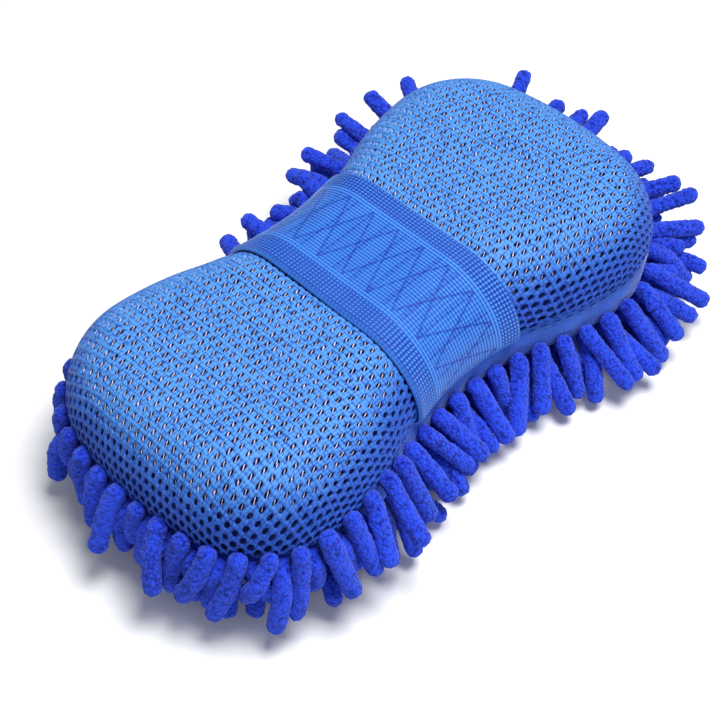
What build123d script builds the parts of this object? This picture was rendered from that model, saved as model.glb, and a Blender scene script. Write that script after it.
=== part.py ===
from build123d import *
from math import atan2, cos, degrees, radians, sin, sqrt
import os

# A wash mitt: a foam pad in a net cover on a cloth tray, with a fringe and sole of chenille
# noodles and a wide elastic hand strap over its waist. Millimetres.
# Frame: +X along the pad, +Y to the strap's left end, +Z up. The origin is on the surface that
# the mitt lies on, under the middle of the pad.

# The pad's outline
PAD_LENGTH = 222.0
LOBE_WIDTH = 116.0
WAIST_WIDTH = 86.0
WAIST_RADIUS = 100.0
LOBE_RADIUS = 95.0
CORNER_RADIUS = 38.0
END_RADIUS = 150.0

# Heights above the surface that the mitt lies on
SOLE_HEIGHT = 22.0
HEM_HEIGHT = 36.5
PAD_TOP = 64.5
TOP_ROUNDING = 24.0

# Skins
NET_THICKNESS = 3.0
CLOTH_THICKNESS = 1.2
CLOTH_INSET = 0.6
FIT_GAP = 0.3
CUT_OVERRUN = 1.0

# Hand strap
STRAP_WIDTH = 50.0
STRAP_THICKNESS = 2.0
STRAP_GAP = 0.4
STRAP_FOOT = 38.0
STRAP_END_TOP = 37.6
STRAP_END_BOTTOM = 29.5
STRAP_END_GAP = 0.2

# Chenille noodles
NOODLE_RADIUS = 3.1
TIP_ROUNDING = 2.4
ROOT_GAP = 0.2
FRINGE_COUNT = 64
UPPER_HEIGHT = 25.6
UPPER_DROOP = 40.0
UPPER_LENGTH = 25.0
UPPER_PHASE = 0.25
MIDDLE_INSET = 2.0
MIDDLE_DROOP = 60.0
MIDDLE_TIP_HEIGHT = 1.8
MIDDLE_PHASE = 0.75
LOWER_INSET = 9.5
LOWER_DROOP = 80.0
LOWER_TIP_HEIGHT = 0.6
END_START = 78.0
SOLE_PITCH = 12.0
SOLE_ROWS_EACH_WAY = 3
SOLE_MARGIN = 17.5

# Thread
THREAD_RADIUS = 0.35
THREAD_GAP = 0.05
HEM_STITCH_COUNT = 120
HEM_STITCH_LENGTH = 3.2
HEM_STITCH_DROP = 2.0
STRAP_STITCH_COUNT = 13
STRAP_STITCH_PITCH = 3.6
STRAP_STITCH_LENGTH = 2.8
STRAP_STITCH_HEIGHT = 32.0
SOLE_STITCH_LENGTH = 4.0

os.makedirs("parts", exist_ok=True)


def write_piece(part, name):
    """Label a finished piece and write it as its own STEP file."""
    part.label = name
    export_step(part, f"parts/{name}.step")


def heading(start, end):
    """The direction from one point to another, in degrees."""
    return degrees(atan2(end.Y - start.Y, end.X - start.X))


def arc_centres():
    """The centres of the four arcs that make a quarter of the pad's outline."""
    waist = Vector(0, WAIST_WIDTH / 2 + WAIST_RADIUS)
    apart = WAIST_RADIUS + LOBE_RADIUS
    drop = apart - (LOBE_WIDTH - WAIST_WIDTH) / 2
    lobe = Vector(sqrt(apart**2 - drop**2), LOBE_WIDTH / 2 - LOBE_RADIUS)
    end = Vector(PAD_LENGTH / 2 - END_RADIUS, 0)
    to_lobe = LOBE_RADIUS - CORNER_RADIUS
    to_end = END_RADIUS - CORNER_RADIUS
    between = lobe - end
    along = (to_end**2 - to_lobe**2 + between.length**2) / (2 * between.length)
    aside = sqrt(to_end**2 - along**2)
    line = between.normalized()
    corner = end + line * along + Vector(-line.Y, line.X) * aside
    return waist, lobe, corner, end


def quarter_arcs(inset):
    """Centre, radius, start angle and sweep of each arc, from the waist to the pad's end."""
    waist, lobe, corner, end = arc_centres()
    waist_turn = heading(waist, lobe)
    lobe_turn = heading(lobe, corner)
    end_turn = heading(end, corner)
    return [
        (waist, WAIST_RADIUS + inset, -90, waist_turn + 90),
        (lobe, LOBE_RADIUS - inset, waist_turn + 180, lobe_turn - waist_turn - 180),
        (corner, CORNER_RADIUS - inset, lobe_turn, end_turn - lobe_turn),
        (end, END_RADIUS - inset, end_turn, -end_turn),
    ]


def pad_face(inset, height):
    """The pad's outline as a face, the same distance inside its full outline all the way round."""
    with BuildSketch(Plane.XY.offset(height)) as face:
        with BuildLine():
            for centre, radius, start, sweep_angle in quarter_arcs(inset):
                CenterArc(centre, radius, start, sweep_angle)
            mirror(about=Plane.YZ)
            mirror(about=Plane.XZ)
        make_face()
    return face.sketch


def pad_block(inset, bottom, top, rounding=0.0):
    """A solid with the pad's outline, its top edge rounded."""
    with BuildPart() as block:
        add(pad_face(inset, bottom))
        extrude(amount=top - bottom)
        if rounding > 0:
            fillet(block.faces().sort_by(Axis.Z)[-1].edges(), rounding)
    return block.part


def strap_band(bottom, top, inner_gap, rounding):
    """The band that STRAP_WIDTH cuts from a skin round the pad, open at its foot."""
    outer_gap = inner_gap + STRAP_THICKNESS
    closed_top = rounding > 0
    outer = pad_block(-outer_gap, bottom, top, rounding + outer_gap if closed_top else 0)
    inner_top = top - STRAP_THICKNESS if closed_top else top + CUT_OVERRUN
    inner_rounding = rounding + inner_gap if closed_top else 0
    inner = pad_block(-inner_gap, bottom - CUT_OVERRUN, inner_top, inner_rounding)
    with BuildPart() as band:
        add(outer)
        add(inner, mode=Mode.SUBTRACT)
        with Locations((0, 0, bottom)):
            Box(
                STRAP_WIDTH,
                2 * LOBE_WIDTH,
                2 * PAD_TOP,
                align=(Align.CENTER, Align.CENTER, Align.MIN),
                mode=Mode.INTERSECT,
            )
    return band.part


def rim_places(count, inset, phase=0.0):
    """Points spaced evenly round the outline, each with the direction that faces outwards."""
    rim = pad_face(inset, 0).face().outer_wire()
    places = []
    for number in range(count):
        share = (number + phase) / count % 1.0
        point = rim.position_at(share)
        along = rim.tangent_at(share)
        outward = Vector(along.Y, -along.X)
        probe = point + outward
        if probe.length < point.length:
            outward = -outward
        places.append((point, outward))
    return places


# Foam core: the pad's filling
foam_inset = NET_THICKNESS + FIT_GAP
foam_bottom = SOLE_HEIGHT + CLOTH_THICKNESS + FIT_GAP
with BuildPart() as foam_core:
    add(pad_block(foam_inset, foam_bottom, PAD_TOP - foam_inset, TOP_ROUNDING - foam_inset))
write_piece(foam_core.part, "foam_core")

# Net cover: the spacer mesh over the top and sides, open below
with BuildPart() as net_cover:
    add(pad_block(0, HEM_HEIGHT, PAD_TOP, TOP_ROUNDING))
    add(
        pad_block(
            NET_THICKNESS,
            HEM_HEIGHT - CUT_OVERRUN,
            PAD_TOP - NET_THICKNESS,
            TOP_ROUNDING - NET_THICKNESS,
        ),
        mode=Mode.SUBTRACT,
    )
write_piece(net_cover.part, "net_cover")

# Base cloth: the tray under the foam that the noodles are sewn to
with BuildPart() as base_cloth:
    add(pad_block(CLOTH_INSET, SOLE_HEIGHT, HEM_HEIGHT))
    add(
        pad_block(
            CLOTH_INSET + CLOTH_THICKNESS,
            SOLE_HEIGHT + CLOTH_THICKNESS,
            HEM_HEIGHT + CUT_OVERRUN,
        ),
        mode=Mode.SUBTRACT,
    )
write_piece(base_cloth.part, "base_cloth")

# Hand strap: the band of elastic that lifts off the pad to let a hand in
strap_top = PAD_TOP + STRAP_GAP + STRAP_THICKNESS
with BuildPart() as hand_strap:
    add(strap_band(STRAP_FOOT, strap_top, STRAP_GAP, TOP_ROUNDING))
write_piece(hand_strap.part, "hand_strap")

# Strap ends: the two tails sewn down over the hem
end_band = strap_band(STRAP_END_BOTTOM, STRAP_END_TOP, STRAP_END_GAP, 0)
with BuildPart() as strap_end_left:
    add(end_band)
    split(bisect_by=Plane.XZ, keep=Keep.BOTTOM)
write_piece(strap_end_left.part, "strap_end_left")

with BuildPart() as strap_end_right:
    add(end_band)
    split(bisect_by=Plane.XZ, keep=Keep.TOP)
write_piece(strap_end_right.part, "strap_end_right")


def noodle(length):
    """One chenille noodle along +Z, its root at the origin and its tip blunt and rounded."""
    with BuildPart() as bar:
        Cylinder(NOODLE_RADIUS, length, align=(Align.CENTER, Align.CENTER, Align.MIN))
        fillet(bar.edges().group_by(Axis.Z)[-1], TIP_ROUNDING)
    return bar.part


def write_noodles(name, planes, length):
    """Write a group of separate noodles, one standing on each plane."""
    bar = noodle(length)
    with BuildPart() as group:
        with Locations(*planes):
            add(bar)
    write_piece(group.part, name)


def side_of(point):
    """Which side of the mitt a point on its rim belongs to."""
    if abs(point.X) > END_START:
        return "front" if point.X > 0 else "back"
    return "left" if point.Y > 0 else "right"


def fringe_planes(inset, outset, height, droop, phase):
    """The planes that one tier of the fringe stands on, sorted by side of the mitt."""
    planes = {"front": [], "back": [], "left": [], "right": []}
    fall = radians(droop)
    for point, outward in rim_places(FRINGE_COUNT, inset, phase):
        root = point + outward * outset + Vector(0, 0, height)
        direction = outward * cos(fall) - Vector(0, 0, sin(fall))
        planes[side_of(point)].append(Plane(origin=root, z_dir=direction))
    return planes


def under_sole(droop):
    """How high a noodle's root is, for its edge to clear the sole."""
    return SOLE_HEIGHT - NOODLE_RADIUS * cos(radians(droop)) - ROOT_GAP


def reach(height, droop, tip_height):
    """How long a drooping noodle is, for its tip to stop at a height above the surface."""
    return (height - tip_height) / sin(radians(droop))


# Fringe: three tiers of noodles round the rim, each one staggered against the one above
upper_outset = NOODLE_RADIUS * sin(radians(UPPER_DROOP)) + ROOT_GAP - CLOTH_INSET
middle_height = under_sole(MIDDLE_DROOP)
lower_height = under_sole(LOWER_DROOP)
middle_length = reach(middle_height, MIDDLE_DROOP, MIDDLE_TIP_HEIGHT)
lower_length = reach(lower_height, LOWER_DROOP, LOWER_TIP_HEIGHT)
tiers = {
    "upper": (0, upper_outset, UPPER_HEIGHT, UPPER_DROOP, UPPER_PHASE, UPPER_LENGTH),
    "middle": (MIDDLE_INSET, 0, middle_height, MIDDLE_DROOP, MIDDLE_PHASE, middle_length),
    "lower": (LOWER_INSET, 0, lower_height, LOWER_DROOP, UPPER_PHASE, lower_length),
}
for tier, (inset, outset, height, droop, phase, length) in tiers.items():
    for side, planes in fringe_planes(inset, outset, height, droop, phase).items():
        write_noodles(f"fringe_{tier}_{side}", planes, length)


def sole_points():
    """Each sole row's points, from one side of the mitt to the other, staggered row by row."""
    area = pad_face(SOLE_MARGIN, 0).face()
    reach_each_way = int(PAD_LENGTH / SOLE_PITCH)
    rows = []
    for row in range(-SOLE_ROWS_EACH_WAY, SOLE_ROWS_EACH_WAY + 1):
        stagger = SOLE_PITCH / 2 if row % 2 else 0
        steps = range(-reach_each_way, reach_each_way)
        points = [Vector(step * SOLE_PITCH + stagger, row * SOLE_PITCH, 0) for step in steps]
        rows.append([point for point in points if area.is_inside(point)])
    return rows


# Sole: straight rows of noodles under the base cloth, which the mitt stands on
sole_rows = sole_points()
for number, row in enumerate(sole_rows, start=1):
    root = Vector(0, 0, SOLE_HEIGHT - ROOT_GAP)
    planes = [Plane(origin=point + root, z_dir=(0, 0, -1)) for point in row]
    write_noodles(f"sole_row_{number}", planes, SOLE_HEIGHT - ROOT_GAP)


def write_stitches(name, planes, length):
    """Write a group of separate stitches, one lying along each plane's X direction."""
    with BuildPart() as group:
        with Locations(*planes):
            Cylinder(THREAD_RADIUS, length, rotation=(0, 90, 0))
    write_piece(group.part, name)


# Hem stitches: round the base cloth just under the net, but not under the strap ends
hem_inset = CLOTH_INSET - THREAD_RADIUS - THREAD_GAP
hem_height = Vector(0, 0, HEM_HEIGHT - HEM_STITCH_DROP)
hem_planes = [
    Plane(origin=point + hem_height, x_dir=(-outward.Y, outward.X, 0), z_dir=(0, 0, 1))
    for point, outward in rim_places(HEM_STITCH_COUNT, hem_inset)
    if abs(point.X) > STRAP_WIDTH / 2 + HEM_STITCH_LENGTH
]
write_stitches("hem_stitches", hem_planes, HEM_STITCH_LENGTH)

# Strap end stitches: one row across each sewn-down end
end_arc_radius = WAIST_RADIUS - STRAP_END_GAP - STRAP_THICKNESS - THREAD_RADIUS - THREAD_GAP
stitch_turn = degrees(STRAP_STITCH_PITCH / end_arc_radius)
for side, sign in (("left", 1), ("right", -1)):
    planes = []
    for number in range(STRAP_STITCH_COUNT):
        turn = radians((number - (STRAP_STITCH_COUNT - 1) / 2) * stitch_turn)
        across = WAIST_WIDTH / 2 + WAIST_RADIUS - end_arc_radius * cos(turn)
        point = Vector(end_arc_radius * sin(turn), sign * across, STRAP_STITCH_HEIGHT)
        planes.append(Plane(origin=point, x_dir=(cos(turn), sign * sin(turn), 0), z_dir=(0, 0, 1)))
    write_stitches(f"strap_end_{side}_stitches", planes, STRAP_STITCH_LENGTH)

# Sole stitches: the thread that runs from noodle to noodle along each sole row
sole_thread_height = Vector(0, 0, SOLE_HEIGHT - THREAD_RADIUS - THREAD_GAP)
sole_planes = [
    Plane(origin=(here + there) / 2 + sole_thread_height)
    for row in sole_rows
    for here, there in zip(row, row[1:])
    if there.X - here.X < 2 * SOLE_PITCH
]
write_stitches("sole_stitches", sole_planes, SOLE_STITCH_LENGTH)
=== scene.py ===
"""Wash mitt: a waisted foam pad in a spacer-net cover, with a chenille noodle fringe and an elastic strap.

Lengths are metres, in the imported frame: X along the pad, Y across it, Z up, and the ground at z = 0.
"""

import math

import bmesh
import bpy
import numpy as np
from bpy.props import FloatProperty, FloatVectorProperty, IntProperty, PointerProperty
from mathutils import Matrix, Vector


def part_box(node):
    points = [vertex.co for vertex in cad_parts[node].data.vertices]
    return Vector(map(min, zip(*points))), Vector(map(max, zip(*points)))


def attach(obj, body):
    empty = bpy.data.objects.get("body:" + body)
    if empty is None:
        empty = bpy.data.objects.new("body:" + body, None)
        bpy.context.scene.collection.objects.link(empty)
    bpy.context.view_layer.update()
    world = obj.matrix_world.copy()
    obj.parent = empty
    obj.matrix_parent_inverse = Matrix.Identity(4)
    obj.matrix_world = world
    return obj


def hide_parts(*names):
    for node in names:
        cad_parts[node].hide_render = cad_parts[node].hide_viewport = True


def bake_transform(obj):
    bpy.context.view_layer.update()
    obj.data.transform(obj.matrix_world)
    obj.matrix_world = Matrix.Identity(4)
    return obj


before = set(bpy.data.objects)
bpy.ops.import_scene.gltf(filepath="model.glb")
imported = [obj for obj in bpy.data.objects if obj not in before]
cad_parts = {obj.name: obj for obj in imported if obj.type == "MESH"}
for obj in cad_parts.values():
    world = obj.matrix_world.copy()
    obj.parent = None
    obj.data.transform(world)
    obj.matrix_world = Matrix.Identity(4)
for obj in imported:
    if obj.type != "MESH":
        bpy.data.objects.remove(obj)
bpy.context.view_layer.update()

bl_info = {
    "name": "Wash Mitt",
    "version": (1, 0, 0),
    "blender": (4, 5, 0),
    "location": "3D View > Sidebar > Wash Mitt",
    "description": "Builds a chenille wash mitt on its packed frame",
    "category": "Add Mesh",
}

MM = 0.001

# The pad's sizes, read from the frame.
NET_LOW, NET_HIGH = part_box("net_cover")
PAD_LENGTH = NET_HIGH[0] - NET_LOW[0]
HEM_HEIGHT = NET_LOW[2]
PAD_TOP = NET_HIGH[2]
SOLE_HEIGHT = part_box("base_cloth")[0][2]
STRAP_LOW, STRAP_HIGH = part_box("hand_strap")
STRAP_WIDTH = STRAP_HIGH[0] - STRAP_LOW[0]
STRAP_END_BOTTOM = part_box("strap_end_right")[0][2]

# The pad's outline is four arcs in each quarter: waist, lobe, corner and end.
LOBE_WIDTH = 116 * MM
WAIST_WIDTH = 86 * MM
WAIST_RADIUS = 100 * MM
LOBE_RADIUS = 95 * MM
CORNER_RADIUS = 38 * MM
END_RADIUS = 150 * MM
TOP_ROUNDING = 24 * MM
QUARTER_RUN = math.pi / 2 * TOP_ROUNDING
WALL_HEIGHT = PAD_TOP - TOP_ROUNDING - HEM_HEIGHT
HEM_RUN = QUARTER_RUN + WALL_HEIGHT
HEM_TUCK = 2 * MM
# How much further the net runs over the pad's diagonals, and the middle line's length as a share of a ring's.
DIAGONAL_STRETCH = 0.25
SPINE_REACH = 0.62

# The net's cells: a tip's place as a share of the row pitch, steps to a side, each eyelet's half length and
# half width in millimetres, closed and what opening adds, and how much the eyelets vary.
EYELET_TIP = 0.597
EDGE_STEPS = 2
EYELET_LENGTH = (1.2, 0.45)
EYELET_WIDTH = (0.7, 0.56)
EYELET_SPREAD = 0.07
# Where the eyelets open, where the net darkens (partly painted shade) and where its pile stops, as runs down
# from the flat top, and how far the net goes on past the hem.
EYELETS_OPEN = (18 * MM, 38 * MM)
NET_STRETCH_AND_SHADE = (8 * MM, 30 * MM)
PILE_FADE = (16 * MM, 27 * MM)
NET_PAST_HEM = 2.5 * MM
# The pile's two threads in an eyelet: their place and wander along and across, in millimetres, and how deep
# they lie, with what fading adds.
PILE_PLACE = (0.35, 0.2)
PILE_WANDER = (0.1, 0.06)
PILE_DEPTH = (0.5 * MM, 1.6 * MM)

# The foam lies this far inside the cover; the side cloth turns under this far in from the pad's edge.
FOAM_GAP = 3.6 * MM
FOAM_FOOT_INSET = 8 * MM
CLOTH_SOLE_INSET = 5 * MM
# The side cloth's folds: the share of each set of waves, their number round the pad, start and slant, and
# the height of all together, in millimetres.
FOLDS = ((0.5, 31, 0.4, 0), (0.35, 47, 2.1, 9), (0.3, 73, 4.4, -14), (0.2, 17, 0, 0))
FOLD_HEIGHT = 0.55

# Stitches: the hem's pitch in stitch lengths, the widest gap a sole stitch crosses, and how many a strap's
# end has.
HEM_PITCH = 1.55
SOLE_GAP = 24 * MM
STRAP_STITCHES = 13

# The elastic's weave, in millimetres: pitches of its picks, yarns, ribs, zigzag and breaks, the zigzag's
# width, and the borders of its bands from one edge to the other.
PICK_PITCH = 1.5
YARN_PITCH = 0.62
RIB_PITCH = 1.25
TWILL_PITCH = 11.5
TWILL_WIDTH = 28.0
BREAK_PITCH = 7.7
STRAP_BANDS = (-23.2, -15.4, -12.9, 14.6, 17.1, 24.9)

# The fringe: joints of a noodle's middle line, and the tiers' and rows' names in the frame.
NOODLE_JOINTS = 8
FRINGE_TIERS = ("upper", "middle", "lower")
FRINGE_SIDES = ("front", "back", "left", "right")
SOLE_ROWS = range(1, 8)
# A noodle's faces around and along it, where it shows and where it is hidden, and its lumps to a metre.
SHOWN_GRID = (28, 46)
HIDDEN_GRID = (20, 32)
LUMP_SCALE = 640.0
# How far a root sinks in the cloth, in millimetres, and how much of its slope it has there.
FRINGE_SUNK = 3
SOLE_SUNK = 1.5
ROOT_SLOPE = 0.15
# How much noodles vary: in length, in thickness, and sideways and upwards in their aim and in their curl.
LENGTH_SPREAD = (0.9, 1.08)
THICKNESS_SPREAD = (0.93, 1.06)
AIM_WANDER = (0.12, 0.08)
AIM_LIFT = 0.02
CURL_WANDER = (0.4, 0.3)
# How the noodles settle: turns, turns between two looks at their neighbours, and each turn's push and ease.
SETTLE_TURNS = 90
NEIGHBOUR_TURNS = 10
SETTLE_PUSH = 0.3
SETTLE_EASE = 0.25
# How the fringe lies: degrees of droop on the pad's right and left at places along its half length, the
# change from one tier to the next, and the strip across the middle where right passes to left.
LIE_PLACES = (-1.0, -0.8, -0.5, -0.3, -0.12, 0.3, 0.7, 0.9, 1.0)
LIE_RIGHT = (82, 80, 68, 60, 58, 56, 44, 14, 0)
LIE_LEFT = (80, 98, 98, 60, 0, -6, -10, -12, -8)
LIE_TIER = -5
LIE_STRIP = (-30 * MM, 30 * MM)
# How far the hanging noodles' roots rise in each tier, and the sines of droop between which they start to.
HANG_RISE = (15 * MM, 13 * MM, 8 * MM)
HANG_START = (0.82, 0.93)


# ---------------------------------------------------------------- sizes and colours


class WashMittSizes(bpy.types.PropertyGroup):
    """Sizes that a maker may change"""

    cell_length: FloatProperty(
        name="Net row pitch", description="Distance between rows of eyelets along the pad",
        default=3.7 * MM, unit="LENGTH")
    cell_width: FloatProperty(
        name="Net eyelet pitch", description="Distance between eyelets in one row",
        default=3.2 * MM, unit="LENGTH")
    net_depth: FloatProperty(
        name="Net face depth", description="Thickness of the net's outer face",
        default=0.9 * MM, unit="LENGTH")
    spacer_depth: FloatProperty(
        name="Spacer depth", description="Distance from the net's outer face to its backing",
        default=2.4 * MM, unit="LENGTH")
    noodle_radius: FloatProperty(
        name="Noodle radius", description="Mean radius of a chenille noodle",
        default=3.2 * MM, unit="LENGTH")
    noodle_length: FloatProperty(
        name="Noodle length", description="Mean length of a fringe noodle",
        default=28.5 * MM, unit="LENGTH")
    lump_height: FloatProperty(
        name="Lump height", description="Height of the chenille's terry lumps",
        default=0.55 * MM, unit="LENGTH")
    stitch_length: FloatProperty(
        name="Stitch length", description="Length of a stitch on the hem",
        default=3.2 * MM, unit="LENGTH")
    thread_radius: FloatProperty(
        name="Thread radius", description="Radius of the sewing thread",
        default=0.32 * MM, unit="LENGTH")
    seed: IntProperty(name="Seed", description="Seed of the noodles' lie", default=11, min=0)


def colour(name, description, red, green, blue):
    """A colour property, given as display values from 0 to 255."""
    return FloatVectorProperty(
        name=name, description=description, subtype="COLOR", size=3, min=0, max=1,
        default=[(value / 255) ** 2.2 for value in (red, green, blue)])


class WashMittColours(bpy.types.PropertyGroup):
    """Colours that a maker may change"""

    net: colour("Net", "The net's outer face", 80, 144, 218)
    # Painted shade between the net's knitted loops.
    net_shade: colour("Net shade", "Between the net's knitted loops", 22, 74, 166)
    # Stretched net on the sides: partly its own deeper blue, partly painted shade.
    net_side_shaded: colour("Stretched net", "The net where it is pulled over the sides", 30, 82, 188)
    net_side_loop_shade: colour("Stretched net shade", "Between the loops of the stretched net", 4, 34, 126)
    backing: colour("Backing", "The net's inner face", 30, 68, 176)
    pile: colour("Pile", "Spacer threads between the two faces", 226, 206, 232)
    # The elastic's raised yarns and its ground, whose darkness is partly the weave's pattern and partly
    # painted shade.
    strap: colour("Elastic", "Raised yarns of the elastic", 70, 144, 244)
    strap_shade: colour("Elastic ground", "Ground of the elastic", 6, 54, 150)
    cloth: colour("Side cloth", "The plain knit round the hem", 52, 104, 218)
    # The chenille's crests, and painted shade between its lumps.
    noodle: colour("Chenille", "Crests of the chenille", 43, 74, 226)
    noodle_shade: colour("Chenille depth", "Between the chenille's lumps", 12, 24, 130)
    thread: colour("Thread", "The sewing thread", 60, 112, 214)
    foam: colour("Foam", "The pad's filling", 205, 208, 214)


# ---------------------------------------------------------------- the pad's shape


def smooth(value, start, end):
    """From 0 at start to 1 at end, with soft ends."""
    t = np.clip((value - start) / (end - start), 0, 1)
    return t * t * (3 - 2 * t)


def arc_centres():
    """The centres of the four arcs in the quarter with x and y above 0."""
    waist = np.array([0, WAIST_WIDTH / 2 + WAIST_RADIUS])
    apart = WAIST_RADIUS + LOBE_RADIUS
    drop = apart - (LOBE_WIDTH - WAIST_WIDTH) / 2
    lobe = np.array([math.sqrt(apart**2 - drop**2), LOBE_WIDTH / 2 - LOBE_RADIUS])
    end = np.array([PAD_LENGTH / 2 - END_RADIUS, 0])
    to_lobe = LOBE_RADIUS - CORNER_RADIUS
    to_end = END_RADIUS - CORNER_RADIUS
    between = lobe - end
    span = np.linalg.norm(between)
    along = (to_end**2 - to_lobe**2 + span**2) / (2 * span)
    aside = math.sqrt(to_end**2 - along**2)
    line = between / span
    corner = end + line * along + np.array([-line[1], line[0]]) * aside
    return waist, lobe, corner, end


WAIST, LOBE, CORNER, END = arc_centres()


def heading(start, finish):
    """The direction from one point to another, in radians."""
    return math.atan2(finish[1] - start[1], finish[0] - start[0])


WAIST_TURN = heading(LOBE, WAIST)
LOBE_TURN = heading(LOBE, CORNER)
END_TURN = heading(END, CORNER)


def past_edge(points, inset):
    """How far each point lies outside the outline drawn in by inset, its foot on it, and the way out."""
    sign = np.where(points < 0, -1.0, 1.0)
    p = np.abs(points)
    lobe_turn = np.arctan2(*(p - LOBE).T[::-1])
    corner_turn = np.arctan2(*(p - CORNER).T[::-1])
    in_waist = lobe_turn > WAIST_TURN
    in_lobe = lobe_turn > LOBE_TURN
    in_corner = corner_turn > END_TURN
    regions = [in_waist[:, None], in_lobe[:, None], in_corner[:, None]]
    centre = np.select(regions, [WAIST, LOBE, CORNER], END)
    radius = np.select(
        regions, [WAIST_RADIUS + inset, LOBE_RADIUS - inset, CORNER_RADIUS - inset], END_RADIUS - inset)
    hand = np.where(in_waist[:, None], -1.0, 1.0)
    arm = p - centre
    reach = np.maximum(np.linalg.norm(arm, axis=1, keepdims=True), 1e-9)
    past = ((reach - radius) * hand)[:, 0]
    foot = centre + arm / reach * radius
    return past, foot * sign, arm / reach * hand * sign


def outline(inset, fine=1):
    """The outline drawn in by inset, as points that keep their order from one inset to the next."""
    arcs = [
        (WAIST, WAIST_RADIUS + inset, -math.pi / 2, WAIST_TURN - math.pi, 6 * fine),
        (LOBE, LOBE_RADIUS - inset, WAIST_TURN, LOBE_TURN, 8 * fine),
        (CORNER, CORNER_RADIUS - inset, LOBE_TURN, END_TURN, 9 * fine),
        (END, END_RADIUS - inset, END_TURN, 0, 3 * fine),
    ]
    quarter = []
    for centre, radius, start, finish, steps in arcs:
        turns = np.linspace(start, finish, steps, endpoint=False)
        quarter.append(centre + radius * np.c_[np.cos(turns), np.sin(turns)])
    tip = np.array([[PAD_LENGTH / 2 - inset, 0]])
    quarter = np.vstack(quarter + [tip])
    half = np.vstack([quarter, quarter[-2::-1] * [1, -1]])
    return np.vstack([half, half[-2:0:-1] * [-1, 1]])[::-1]


def puff(flat, run):
    """How far the stuffed net stands off its plain shape: proud beside the strap, pressed under it."""
    beside = smooth(np.abs(flat[:, 0]), STRAP_WIDTH / 2 - 1 * MM, STRAP_WIDTH / 2 + 7 * MM)
    waves = np.sin(flat[:, 0] / (9 * MM) + 1.3) * np.sin(flat[:, 1] / (13 * MM)) * 0.25 * MM
    return (-0.5 * MM + (1.1 * MM + waves) * beside) * (1 - smooth(run, 0.25 * HEM_RUN, 0.75 * HEM_RUN))


def over_pad(flat, lift=0.0):
    """Flat net points laid over the pad, lift proud of it, and how far each has run past the flat top."""
    past, foot, outward = past_edge(flat, TOP_ROUNDING)
    diagonal = (2 * outward[:, 0] * outward[:, 1]) ** 2
    run = np.maximum(past, 0) * (1 + DIAGONAL_STRETCH * diagonal)
    turn = np.minimum(run, QUARTER_RUN) / TOP_ROUNDING
    down = np.maximum(run - QUARTER_RUN, 0) / WALL_HEIGHT
    rise = lift + puff(flat, run)
    base = np.where(past[:, None] > 0, foot, flat)
    out = TOP_ROUNDING * np.sin(turn) - HEM_TUCK * down**2 + rise * np.sin(turn)
    height = PAD_TOP - TOP_ROUNDING * (1 - np.cos(turn)) - WALL_HEIGHT * down + rise * np.cos(turn)
    return np.c_[base + outward * out[:, None], height], run


# ---------------------------------------------------------------- mesh and node helpers


def piece(name, points, faces, material, flat=None, weld=False, extra=None):
    """A mesh piece at the origin, with flat fabric places in its Fabric UV map and values for its points."""
    mesh = bpy.data.meshes.new(name)
    mesh.from_pydata(np.asarray(points).tolist(), [], [list(face) for face in faces])
    if flat is not None:
        layer = mesh.uv_layers.new(name="Fabric")
        corners = np.empty(len(mesh.loops), int)
        mesh.loops.foreach_get("vertex_index", corners)
        layer.data.foreach_set("uv", np.asarray(flat, np.float32)[corners].ravel())
    for label, data in (extra or {}).items():
        values = np.asarray(data, np.float32)
        mesh.attributes.new(label, "FLOAT", "POINT").data.foreach_set("value", values)
    if weld:
        bm = bmesh.new()
        bm.from_mesh(mesh)
        bmesh.ops.remove_doubles(bm, verts=bm.verts, dist=0.01 * MM)
        bm.to_mesh(mesh)
        bm.free()
    mesh.polygons.foreach_set("use_smooth", np.ones(len(mesh.polygons), bool))
    mesh.materials.append(material)
    obj = bpy.data.objects.new(name, mesh)
    bpy.context.scene.collection.objects.link(obj)
    return obj


def ring_faces(rows, around, closed=True):
    """Quads of a grid of rows, each of so many points."""
    across = around if closed else around - 1
    return [
        (row * around + step, row * around + (step + 1) % around,
         (row + 1) * around + (step + 1) % around, (row + 1) * around + step)
        for row in range(rows - 1) for step in range(across)
    ]


def node(tree, kind, **settings):
    """A new node with those settings."""
    made = tree.nodes.new(kind)
    for key, value in settings.items():
        setattr(made, key, value)
    return made


def feed(tree, socket, value):
    """Links a socket to value, or sets it."""
    if isinstance(value, bpy.types.NodeSocket):
        tree.links.new(value, socket)
    else:
        socket.default_value = value


def maths(tree, operation, *values):
    """The result of a Math node."""
    made = node(tree, "ShaderNodeMath", operation=operation)
    for socket, value in zip(made.inputs, values):
        feed(tree, socket, value)
    return made.outputs[0]


def scaled(tree, vector, scale):
    """A vector times a number."""
    made = node(tree, "ShaderNodeVectorMath", operation="SCALE")
    feed(tree, made.inputs["Vector"], vector)
    feed(tree, made.inputs["Scale"], scale)
    return made.outputs["Vector"]


def start_material(name, roughness, sheen):
    """A fabric material, its tree and its shader."""
    material = bpy.data.materials.new(name)
    material.use_nodes = True
    tree = material.node_tree
    shader = tree.nodes["Principled BSDF"]
    shader.inputs["Roughness"].default_value = roughness
    shader.inputs["Sheen Weight"].default_value = sheen
    shader.inputs["Sheen Roughness"].default_value = 0.4
    shader.inputs["Specular IOR Level"].default_value = 0.3
    return material, tree, shader


def stretched(tree, source, scale):
    """Coordinates scaled by three numbers."""
    mapping = node(tree, "ShaderNodeMapping")
    feed(tree, mapping.inputs["Vector"], source)
    mapping.inputs["Scale"].default_value = scale
    return mapping.outputs["Vector"]


def fabric_uv(tree):
    """The piece's flat fabric places."""
    return node(tree, "ShaderNodeUVMap", uv_map="Fabric").outputs["UV"]


def object_place(tree):
    """Object coordinates."""
    return node(tree, "ShaderNodeTexCoord").outputs["Object"]


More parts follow.
